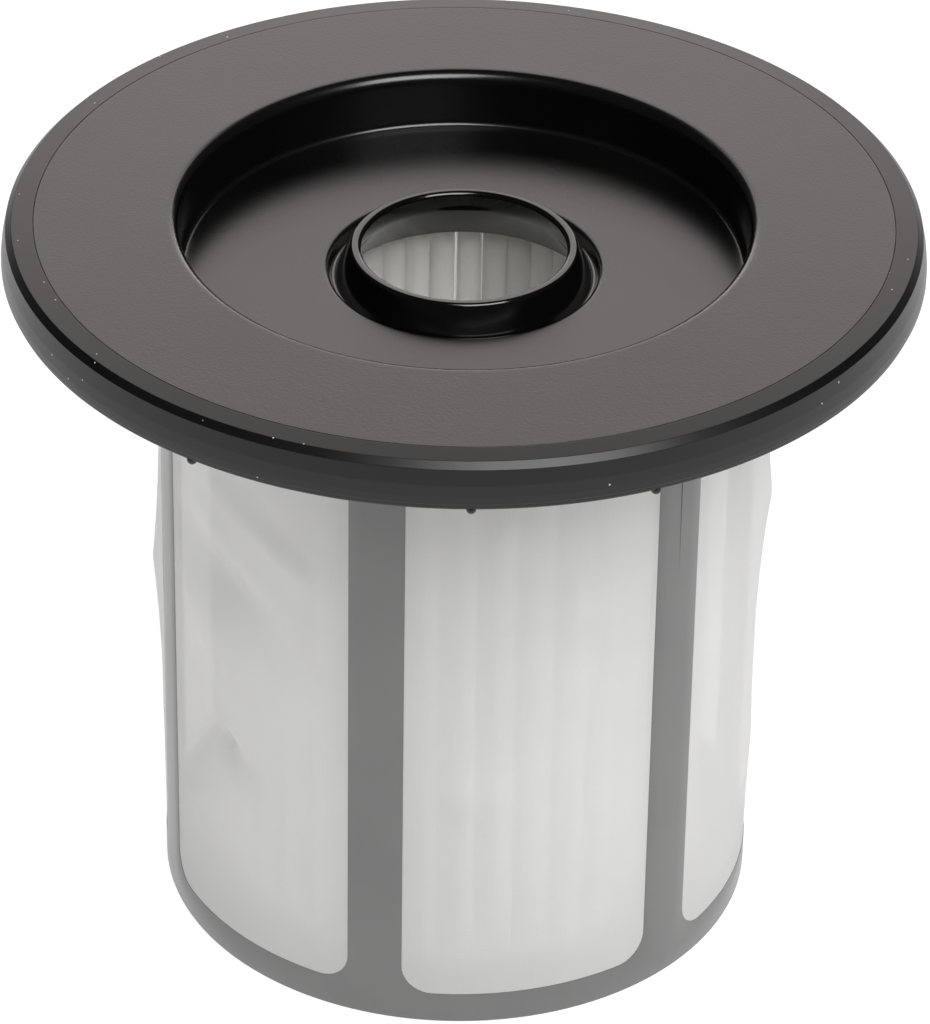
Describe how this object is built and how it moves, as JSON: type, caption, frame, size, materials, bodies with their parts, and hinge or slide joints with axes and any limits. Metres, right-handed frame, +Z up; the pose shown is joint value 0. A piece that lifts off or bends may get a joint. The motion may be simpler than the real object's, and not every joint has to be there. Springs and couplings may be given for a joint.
{
  "type": "vacuum cleaner filter",
  "caption": "Round vacuum cleaner filter: black recessed flange with rubber rim seal and outlet collar over a grey windowed basket with fine white mesh and a pleated filter inside.",
  "frame": {"origin": "centre of the foot ring that the basket stands on", "axes": "+Z up the axis from the basket's foot to the flange's top face; -Y is the side seen in the picture"},
  "size_m": [0.14, 0.14, 0.1184],
  "materials": {
    "black_plastic": "satin moulded plastic with a fine grain",
    "black_rubber": "smooth moulded rubber",
    "grey_plastic": "satin moulded plastic",
    "white_mesh": "fine woven nylon mesh, translucent",
    "white_media": "nonwoven filter sheet",
    "pale_glue": "cured casting glue"
  },
  "bodies": {
    "root": {"top_plate": "black_plastic", "rim_seal": "black_rubber", "basket_frame": "grey_plastic", "mesh_sleeve": "white_mesh", "pleated_media": "white_media", "upper_glue_bed": "pale_glue", "lower_glue_bed": "pale_glue"}
  },
  "joints": []
}
